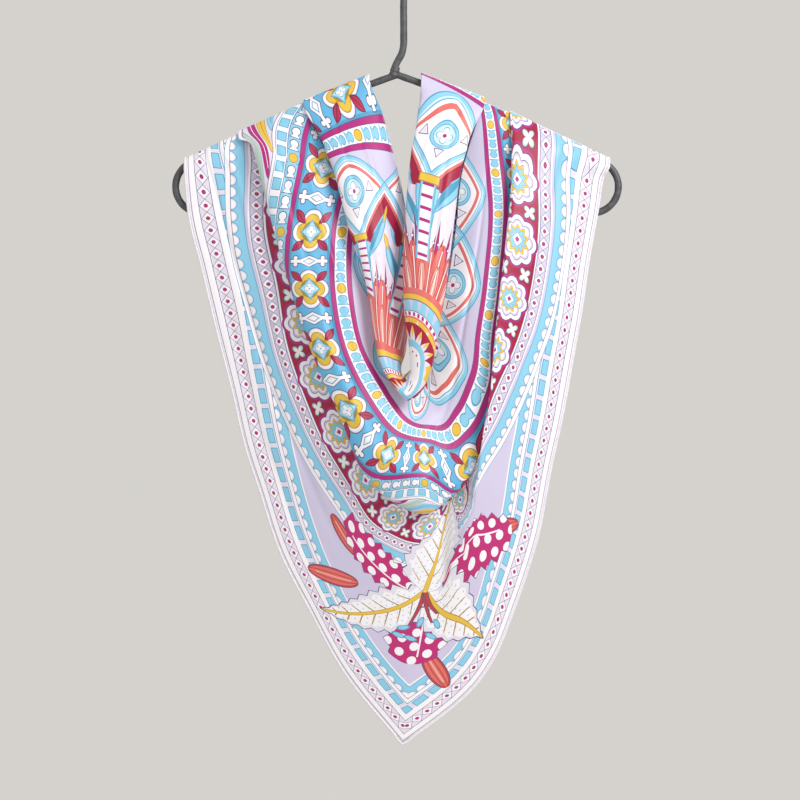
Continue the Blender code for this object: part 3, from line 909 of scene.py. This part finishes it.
ridge_right = np.concatenate(
    [ridge_line, over_arm(95, FIRST_LAYER + LAYER, on_ring(366.0, -60.0), ridge_line[-1, 3:])[::-1]]
)
inner_right = np.concatenate(
    [inner_line, over_arm(98, FIRST_LAYER + LAYER, on_ring(363.0, -60.5), inner_line[-1, 3:])[::-1]]
)
tuck = padded(right_side["tuck"])[OVER:, None]
turned = ridge_right + tuck * (0.5, 1.0, 0, 0, 0)
turned[:, 3:] += (inner_right - ridge_right)[:, 3:] * 0.45 * (tuck > 0)
turned[-OVER:, 0] += 1.5
ridge = np.concatenate([edge_left + 0.7 * (fold_left - edge_left), ridge_right])
turn = np.concatenate([edge_left + 0.84 * (fold_left - edge_left), turned])
under = padded(np.full(len(left_side["fold_x"]), 9.0))[: len(fold_left), None]
inwards = (fold_left - edge_left)[:, 3:]
inwards /= np.linalg.norm(inwards, axis=1, keepdims=True)
tucked = np.column_stack([np.tile([1.0, -0.1, 0.3], (len(under), 1)), inwards])
inner = np.concatenate([fold_left + under * tucked, inner_right])
knee = edge + 0.5 * (ridge - edge)
front = slice(OVER, -OVER)
knee[front, 1] = edge[front, 1] + 0.42 * (ridge[front, 1] - edge[front, 1])
outer_lines = [edge, knee, ridge, turn, inner]
knots = knots_of(outer_lines)
at = spread(knots, (70, 80), front_corner)
outer_controls = np.stack(
    [through_corner(edge, knots, at, front_corner)] + [through(line, knots, at) for line in outer_lines[1:]], axis=1
)
outer_grid = sections(outer_controls, 61)

# Creases pressed into the outer stretch: u runs from the left arm round the corner to the right arm,
# v from the free edge inwards.
OUTER_CREASES = """
u0    v0    u1    v1    width height
0.02  0.30  0.40  0.46  0.030 1.6
0.03  0.62  0.36  0.66  0.035 -1.4
0.10  0.12  0.44  0.20  0.040 1.2
0.22  0.80  0.48  0.62  0.035 1.2
0.58  0.30  0.97  0.24  0.040 -1.5
0.62  0.52  0.96  0.44  0.030 1.4
0.50  0.15  0.80  0.08  0.050 1.2
"""
outer_grid = pressed(outer_grid, OUTER_CREASES)
outer_silk = silk_shell("outer_silk", outer_grid, silk_materials, zone_of)
width, length, area = cut_of(outer_grid)
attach(outer_silk, "root")
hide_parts("outer_stretch")


# ---------------------------------------------------------------- middle stretch
# The next fold up the square, a deep swag from shoulder to shoulder. Its lower ridge stands forward of
# the outer stretch, and its upper part goes under the inner roll.

MIDDLE_ROWS = """
ridge_x ridge_z ridge_y ridge_r ridge_a inner_x inner_z inner_y inner_r inner_a belly tuck
-129    -183    -20     350     73.1    -58     -206    -23     268     73.1    6     4
-109    -260    -33     315     61.9    -44     -260    -32     240     61.9    10    8
-95     -309    -40     297     50.6    -28     -309    -38     222     50.6    12    9
-77     -361    -47     288     39.4    -21     -357    -42     224     39.4    12    9
-52     -418    -53     286     28.1    -4      -393    -44     228     28.1    12    9
-21     -483    -57     312     16.9    13      -399    -38     213     16.9    14    9
 24     -506    -57     350     5.6     22      -395    -33     190     5.6     15    9
 52     -486    -48     295     -1      27      -386    -31     193     -3      9     3
 70     -452    -42     268     -7      29      -368    -30     198     -8      6     0
 81     -401    -40     255     -11.25  32      -357    -30     200     -11.25  5     0
 84     -357    -37     254     -22.5   38      -335    -29     198     -22.5   5     0
 89     -309    -31     253     -33.75  45      -305    -27     198     -33.75  4     0
 95     -262    -23     255     -45     52      -262    -21     200     -45     3     0
100     -212    -12     262     -61     58      -208    -13     210     -61     2     0
"""
rows = table(MIDDLE_ROWS)
lift = FIRST_LAYER + LAYER
ridge = between_arms(
    -138, on_ring(350.0, 76.4), line_of(rows, "ridge", on_ring(rows["ridge_r"], rows["ridge_a"])),
    98, on_ring(275.0, -76.0), lift, FIRST_LAYER,
)
inner = between_arms(
    -79, on_ring(312.0, 84.0), line_of(rows, "inner", on_ring(rows["inner_r"], rows["inner_a"])),
    73, on_ring(240.0, -80.0), lift, FIRST_LAYER,
)
belly = padded(rows["belly"])[:, None]
tuck = padded(rows["tuck"])[:, None]


def swag_lines(outer, upper, belly, tuck):
    """Control lines across a swag: its tucked end, its ridge, two lines that swell forward by belly, and its
    upper line. The place on the flat square moves on evenly with them."""
    span = upper - outer
    reach = np.linalg.norm(span[:, :3], axis=1, keepdims=True)
    flat_reach = np.linalg.norm(span[:, 3:], axis=1, keepdims=True)
    step = np.column_stack([span[:, :3] / reach, span[:, 3:] / np.maximum(flat_reach, 1)])
    forward = np.array([0, -1.0, 0, 0, 0])
    return step, [
        outer + tuck * (step * (1, 1, 1, -1.1, -1.1) - forward * 0.75),
        outer,
        outer + 0.3 * span + belly * forward,
        outer + 0.7 * span + 0.8 * belly * forward,
        upper,
    ]


step, middle_lines = swag_lines(ridge, inner, belly, tuck)
middle_lines.append(inner + np.minimum(tuck + 2, 8) * (step + (0, 0.1, 0, 0, 0)) * (belly > 0))
knots = knots_of(middle_lines)
at = spread(knots, (140,))
middle_grid = sections(np.stack([through(line, knots, at) for line in middle_lines], axis=1), 57)
MIDDLE_CREASES = """
u0    v0    u1    v1    width height
0.08  0.35  0.42  0.52  0.035 1.8
0.12  0.66  0.46  0.70  0.030 -1.6
0.20  0.50  0.60  0.30  0.040 -1.2
0.48  0.62  0.85  0.50  0.035 1.3
"""
middle_grid = pressed(middle_grid, MIDDLE_CREASES)
middle_silk = silk_shell("middle_silk", middle_grid, silk_materials, zone_of)
width, length, area = cut_of(middle_grid)
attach(middle_silk, "root")
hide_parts("middle_stretch")


# ---------------------------------------------------------------- inner roll
# The topmost folds, rolled round the neckline, which is the fold of the square on its diagonal. The
# cloth curls inwards there. It lies on top of the other stretches over both arms.

INNER_ROWS = """
ridge_x ridge_z ridge_y ridge_p ridge_q neck_x neck_z neck_y neck_p neck_q belly tuck curl_x curl_z curl_y
-70     -174    -24     -250    571     -15    -156   -15    -255   641    5     2    2      0      5
-58     -206    -37     -215    569     -7     -192   -26    -232   644    8     6    4      0      12
-44     -260    -43     -163    585     -4     -245   -36    -178   648    10    8    12     0      20
-28     -309    -49     -90     610     -4     -300   -44    -121   650    9     8    15     0      24
-21     -350    -54     -65     616     -6     -342   -50    -80    652    7     7    15     0      26
-14     -377    -58     -45     620     -5     -366   -54    -57    652    4     6    12     3      24
-3      -393    -60     -20     618     0      -383   -57    -38    652    3     5    3      5      18
10      -406    -61     8       612     6      -389   -58    -24    650    5     5    0      6      17
22      -397    -61     5       608     10     -382   -58    -10    647    6     6    4      6      16
30      -379    -60     0       604     10     -370   -58    0      644    8     7    7      4      15
36      -353    -58     30      600     7      -350   -58    18     647    10    8    9      0      15
43      -318    -54     60      590     3      -316   -56    57     650    12    9    10     0      15
51      -262    -45     115     580     3      -262   -48    110    638    12    9    10     0      15
59      -203    -31     170     575     8      -203   -33    165    626    9     7    8      0      12
67      -172    -19     205     570     15     -163   -18    210    628    5     2    4      0      6
"""
rows = table(INNER_ROWS)
lift = FIRST_LAYER + 2 * LAYER
ridge = between_arms(
    -81, (-285.0, 574.0), line_of(rows, "ridge", np.column_stack([rows["ridge_p"], rows["ridge_q"]])),
    76, (240.0, 565.0), lift,
)
neck = between_arms(
    -24, (-283.0, 636.0), line_of(rows, "neck", np.column_stack([rows["neck_p"], rows["neck_q"]])),
    21, (240.0, 630.0), lift,
)
curl = np.stack([padded(rows["curl_" + axis]) for axis in "xyz"], axis=1)
step, roll_lines = swag_lines(ridge, neck, padded(rows["belly"])[:, None], padded(rows["tuck"])[:, None])
for part, inward in ((0.7, 0.45), (1.0, 1.0)):
    curled = neck.copy()
    curled[:, :3] += curl * (part, inward, part)
    curled[:, 4] += np.linalg.norm(curl, axis=1) * inward
    roll_lines.append(curled)
knots = knots_of(roll_lines)
at = spread(knots, (150,))
roll_grid = sections(np.stack([through(line, knots, at) for line in roll_lines], axis=1), 61)
ROLL_CREASES = """
u0    v0    u1    v1    width height
0.10  0.30  0.38  0.40  0.035 1.3
0.14  0.58  0.40  0.60  0.030 -1.2
0.60  0.45  0.90  0.32  0.035 1.4
0.64  0.66  0.88  0.60  0.030 -1.0
"""
roll_grid = pressed(roll_grid, ROLL_CREASES)
roll_silk = silk_shell("roll_silk", roll_grid, silk_materials, zone_of)
width, length, area = cut_of(roll_grid)
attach(roll_silk, "root")
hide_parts("inner_roll")


# ---------------------------------------------------------------- the two corners behind
# The side corners of the square, passed back over the arms and hanging free behind them. Each is two
# layers of the same silk with two soft pleats that die out downwards.

TAILS = """
side corner_x corner_z corner_y edge_t fold_p
-1   -30      -482     15       554    291
1    36       -478     21       550    248
"""
PLEAT_DEPTH = 26.0


def hanging_corner(side, corner, edge_start, fold_start):
    """Straight sides that close to the corner: across from the free edge to the fold, and down. Two steps
    across the top lift the cloth over the layers on the arm. Between them the gathered cloth stands out
    behind in rounded pleats that fade towards the corner."""
    across = np.linspace(0, 1, 49)
    down = np.linspace(0, 1, 97)[:, None]
    start_x = side * (HALF_SPAN - (HALF_SPAN - 23.0) * across)
    steps = 1 / (1 + np.exp(-(across - 0.31) / 0.03)) + 1 / (1 + np.exp(-(across - 0.64) / 0.03))
    reach = ROD_RADIUS + FIRST_LAYER + LAYER * steps + 0.3
    start_z = arm_height(start_x) - 0.2 * reach
    x = start_x + (corner[0] + side * (2.0 - 4.0 * across) - start_x) * down
    z = start_z + (corner[2] - start_z) * down
    wave = np.sin(across * 2.5 * math.pi) ** 2
    pleat = PLEAT_DEPTH * wave * np.minimum(down * 6, 1) * (1 - down)
    y = reach + 0.3 + (corner[1] - reach - 0.3) * (1 - (1 - down) ** 2) + pleat
    fold = np.array([side * fold_start, HALF_DIAGONAL])
    top = on_edge(edge_start, side) * (1 - across[:, None]) + fold * across[:, None]
    tip = np.array([side * HALF_DIAGONAL, HALF_DIAGONAL])
    flat = top[None] + (tip - top)[None] * down[..., None] * 0.995
    grid = np.concatenate([np.stack([x, y, z], axis=-1), flat], axis=-1)
    return grid if side > 0 else grid[:, ::-1]


tails = table(TAILS)
tail_grids = {}
corner_points = line_of(tails, "corner", np.zeros((2, 2)))
for side, corner, edge_start, fold_start in zip(tails["side"], corner_points, tails["edge_t"], tails["fold_p"]):
    name = "left" if side < 0 else "right"
    tail_grids[name] = hanging_corner(side, corner, edge_start, fold_start)
    tail_silk = silk_shell(f"{name}_corner_silk", tail_grids[name], silk_materials, zone_of)
    width, length, area = cut_of(tail_grids[name])
    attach(tail_silk, "root")
    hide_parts(f"{name}_tail")


# ---------------------------------------------------------------- rolled hems
# The square's edge is rolled by hand into a thin round hem and whipped down with silk thread, so it is
# a little uneven. One runs round the front corner, and one down the free edge of each corner behind.


def swept(name, path, radius, material, sides=16, ripple=0.0, pitch=5.0, steps=1):
    """A round rod along a path, with closed round ends: rings of equal angle square to the path, whose
    radius swells and shrinks by ripple over each pitch."""
    path = np.asarray(path, float)
    run = np.concatenate([[0.0], np.cumsum(np.linalg.norm(np.diff(path, axis=0), axis=1))])
    if steps > 1:
        at = np.interp(np.arange((len(path) - 1) * steps + 1) / steps, np.arange(len(path)), run)
        path = through(path, run, at)
        run = np.concatenate([[0.0], np.cumsum(np.linalg.norm(np.diff(path, axis=0), axis=1))])
    forward = np.gradient(path, axis=0)
    forward /= np.linalg.norm(forward, axis=1, keepdims=True)
    aside = np.cross(forward, np.array([0.0, 1.0, 0.0]))
    aside /= np.linalg.norm(aside, axis=1, keepdims=True)
    upward = np.cross(aside, forward)
    turn = np.linspace(0, 2 * math.pi, sides, endpoint=False)
    size = radius * (1 + ripple * np.sin(run * (2 * math.pi / pitch) + np.sin(run * 0.11)))
    shrink = np.array([0.0, 0.55, 0.86])
    size = np.concatenate([shrink * size[0], size, shrink[::-1] * size[-1]])
    centre = np.concatenate([
        path[0] - forward[0] * radius * np.array([0.7, 0.58, 0.3])[:, None],
        path,
        path[-1] + forward[-1] * radius * np.array([0.3, 0.58, 0.7])[:, None],
    ])
    aside = np.concatenate([np.repeat(aside[:1], 3, axis=0), aside, np.repeat(aside[-1:], 3, axis=0)])
    upward = np.concatenate([np.repeat(upward[:1], 3, axis=0), upward, np.repeat(upward[-1:], 3, axis=0)])
    ring = aside[:, None] * np.cos(turn)[None, :, None] + upward[:, None] * np.sin(turn)[None, :, None]
    points = (centre[:, None] + ring * size[:, None, None])[1:-1].reshape(-1, 3)
    rings = len(centre) - 2
    number = np.arange(rings * sides).reshape(rings, sides)
    ahead = np.roll(number, -1, axis=1)
    quads = np.stack([number[:-1], ahead[:-1], ahead[1:], number[1:]], axis=-1).reshape(-1, 4)
    ends = np.stack([centre[0], centre[-1]])
    first = np.stack([np.full(sides, rings * sides), ahead[0], number[0]], axis=-1)
    last = np.stack([np.full(sides, rings * sides + 1), number[-1], ahead[-1]], axis=-1)
    mesh = bpy.data.meshes.new(name)
    faces = quads.tolist() + first.tolist() + last.tolist()
    mesh.from_pydata((np.concatenate([points, ends]) * 0.001).tolist(), [], faces)
    mesh.materials.append(material)
    mesh.shade_smooth()
    mesh.update()
    piece = bpy.data.objects.new(name, mesh)
    bpy.context.scene.collection.objects.link(piece)
    return piece


def beside(edge_points, next_points):
    """The line just outside a free edge: the edge moved away from the cloth by the hem's own radius."""
    outward = edge_points - next_points
    outward /= np.linalg.norm(outward, axis=1, keepdims=True)
    return edge_points + outward * HEM_OFFSET


HEM_RADIUS = 1.15
HEM_OFFSET = 1.2
hem_white = bpy.data.materials.new("rolled silk hem")
hem_white.use_nodes = True
shader = hem_white.node_tree.nodes["Principled BSDF"]
shader.inputs["Roughness"].default_value = 0.5
shader.inputs["Sheen Weight"].default_value = 0.3
nodes, links = hem_white.node_tree.nodes, hem_white.node_tree.links
place = nodes.new("ShaderNodeTexCoord")
mottle = nodes.new("ShaderNodeTexNoise")
mottle.inputs["Scale"].default_value = 420.0
mottle.inputs["Detail"].default_value = 2.0
links.new(place.outputs["Object"], mottle.inputs["Vector"])
tint = nodes.new("ShaderNodeMix")
tint.data_type = "RGBA"
tint.inputs["A"].default_value = (*srgb("D9D3E6"), 1)
tint.inputs["B"].default_value = (*srgb("F6F4F8"), 1)
links.new(mottle.outputs["Fac"], tint.inputs["Factor"])
links.new(tint.outputs["Result"], shader.inputs["Base Color"])
bump = nodes.new("ShaderNodeBump")
bump.inputs["Strength"].default_value = 0.5
bump.inputs["Distance"].default_value = 0.0004
links.new(mottle.outputs["Fac"], bump.inputs["Height"])
links.new(bump.outputs["Normal"], shader.inputs["Normal"])

hems = {"front_hem_roll": (outer_grid[2:-2, 0, :3], outer_grid[2:-2, 1, :3], "front_hem", outer_silk)}
for name, column, following in (("left", -1, -2), ("right", 0, 1)):
    grid = tail_grids[name]
    piece = bpy.data.objects[f"{name}_corner_silk"]
    hems[f"{name}_hem_roll"] = (grid[3:-1, column, :3], grid[3:-1, following, :3], f"{name}_tail_hem", piece)
for name, (edge_points, next_points, node, cloth) in hems.items():
    roll = swept(name, beside(edge_points, next_points), HEM_RADIUS, hem_white, 10, 0.1, 6.0, 2)
    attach(roll, "root")
    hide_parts(node)


# ---------------------------------------------------------------- hanger
# A plain hanger bent by a smith from one 6 mm iron rod: its two arms slope down and curl under into a
# lower bar, and a second length, the hook, is welded on at the neck. The iron is dark, dry and lightly
# hammered, and is not painted.

iron = bpy.data.materials.new("hammered iron")
iron.use_nodes = True
nodes, links = iron.node_tree.nodes, iron.node_tree.links
shader = nodes["Principled BSDF"]
shader.inputs["Metallic"].default_value = 0.6
place = nodes.new("ShaderNodeTexCoord")
scale = nodes.new("ShaderNodeTexNoise")
scale.inputs["Scale"].default_value = 160.0
scale.inputs["Detail"].default_value = 5.0
links.new(place.outputs["Object"], scale.inputs["Vector"])
dents = nodes.new("ShaderNodeTexVoronoi")
dents.inputs["Scale"].default_value = 210.0
links.new(place.outputs["Object"], dents.inputs["Vector"])
tint = nodes.new("ShaderNodeMix")
tint.data_type = "RGBA"
tint.inputs["A"].default_value = (*srgb("3A3B3F"), 1)
tint.inputs["B"].default_value = (*srgb("76777B"), 1)
links.new(scale.outputs["Fac"], tint.inputs["Factor"])
links.new(tint.outputs["Result"], shader.inputs["Base Color"])
rough = nodes.new("ShaderNodeMapRange")
rough.inputs["To Min"].default_value = 0.42
rough.inputs["To Max"].default_value = 0.7
links.new(scale.outputs["Fac"], rough.inputs["Value"])
links.new(rough.outputs["Result"], shader.inputs["Roughness"])
bump = nodes.new("ShaderNodeBump")
bump.inputs["Strength"].default_value = 0.35
bump.inputs["Distance"].default_value = 0.0006
links.new(dents.outputs["Distance"], bump.inputs["Height"])
grain = nodes.new("ShaderNodeBump")
grain.inputs["Strength"].default_value = 0.3
grain.inputs["Distance"].default_value = 0.0003
links.new(scale.outputs["Fac"], grain.inputs["Height"])
links.new(bump.outputs["Normal"], grain.inputs["Normal"])
links.new(grain.outputs["Normal"], shader.inputs["Normal"])

# The frame: neck, arm, end curl and lower bar, all round and back to the neck.
ARM_END = 180.0
END_RADIUS = 23.0
END_TURN = math.radians(63)
end_x = ARM_END - END_RADIUS * math.cos(END_TURN)
end_z = arm_height(ARM_END) - END_RADIUS * math.sin(END_TURN)
along = np.linspace(0.0, ARM_END - 6.0, 40)
turn = np.linspace(END_TURN - 0.12, -math.pi / 2, 28)
half = np.concatenate([
    np.column_stack([along, 0 * along, arm_height(along)]),
    np.column_stack([end_x + END_RADIUS * np.cos(turn), 0 * turn, end_z + END_RADIUS * np.sin(turn)]),
    np.column_stack([np.linspace(end_x - 8, 4, 20), np.zeros(20), np.full(20, end_z - END_RADIUS)]),
])
loop = np.concatenate([half * (-1, 1, 1), half[::-1]])
loop = loop[np.concatenate([[True], np.linalg.norm(np.diff(loop, axis=0), axis=1) > 0.01])]
hanger_frame = swept("hanger_frame", loop, ROD_RADIUS, iron, 24, 0.02, 14.0, 2)
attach(hanger_frame, "root")
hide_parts("left_arm", "right_arm", "left_end", "right_end", "lower_bar")

# The hook: a stem set off to one side of the neck, then a round crook over the rail.
HOOK_RADIUS = 22.1
turn = np.radians(np.linspace(-55, 200, 30))
crook_z = ROD_RADIUS - HOOK_RADIUS + HOOK_RADIUS * np.sin(turn)
crook = np.column_stack([HOOK_RADIUS * np.cos(turn), 0 * turn, crook_z])
STEM = """
x    z
-3.0 -119
-1.6 -114
1.0  -108.5
4.0  -103
5.6  -96
5.8  -86
5.8  -72
5.8  -58
6.6  -49
9.2  -42
"""
stem = table(STEM)
stem = np.column_stack([stem["x"], 0 * stem["x"], stem["z"]])
hook = swept("hanger_hook", np.concatenate([stem, crook]), ROD_RADIUS, iron, 24, 0.02, 14.0, 3)
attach(hook, "root")
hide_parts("hook")

# The weld: a low collar of metal where the stem meets the two arms.
turn = np.linspace(0, 1, 15)
weld_path = np.column_stack([-3.2 + 2.0 * turn, 0 * turn, -122.0 + 7.0 * turn])
weld = swept("neck_weld", weld_path, ROD_RADIUS + 0.9, iron, 24, 0.05, 4.0, 2)
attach(weld, "root")


# ---------------------------------------------------------------- studio
# A pale floor well below, a wide soft lamp high on the right, a fainter one on the left, and even light
# from all round.
size = 1.5
FLOOR = -1.3
floor_mesh = bpy.data.meshes.new("floor")
floor_corners = [(-size, -size, FLOOR), (size, -size, FLOOR), (size, size, FLOOR), (-size, size, FLOOR)]
floor_mesh.from_pydata(floor_corners, [], [(0, 1, 2, 3)])

floor = bpy.data.objects.new("floor", floor_mesh)
bpy.context.scene.collection.objects.link(floor)
plaster = bpy.data.materials.new("pale floor")
plaster.use_nodes = True
plaster.node_tree.nodes["Principled BSDF"].inputs["Base Color"].default_value = (*srgb("CFCBC6"), 1)
plaster.node_tree.nodes["Principled BSDF"].inputs["Roughness"].default_value = 0.9
floor_mesh.materials.append(plaster)


def lamp(name, place, target, width, height, power, tint):
    """A rectangular soft lamp at place, turned to face target."""
    data = bpy.data.lights.new(name, "AREA")
    data.shape = "RECTANGLE"
    data.size = width
    data.size_y = height
    data.energy = power
    data.color = tint
    light = bpy.data.objects.new(name, data)
    bpy.context.scene.collection.objects.link(light)
    light.location = place
    light.rotation_euler = (Vector(target) - Vector(place)).to_track_quat("-Z", "Y").to_euler()
    return light


centre = (0.0, 0.0, -0.4)
lamp("key lamp", (1.3, -1.5, 0.75), centre, 0.9, 0.9, 34.0, (1.0, 0.985, 0.96))
lamp("fill lamp", (-1.6, -1.6, 0.1), centre, 1.4, 1.4, 4.0, (0.96, 0.98, 1.0))
lamp("back lamp", (0.4, 1.9, 0.7), centre, 1.2, 1.2, 14.0, (1.0, 1.0, 1.0))
world = bpy.data.worlds.new("studio")
bpy.context.scene.world = world
world.use_nodes = True
world.node_tree.nodes["Background"].inputs["Color"].default_value = (*srgb("DAD7D2"), 1)
world.node_tree.nodes["Background"].inputs["Strength"].default_value = 0.95
bpy.context.scene.view_settings.view_transform = "Standard"
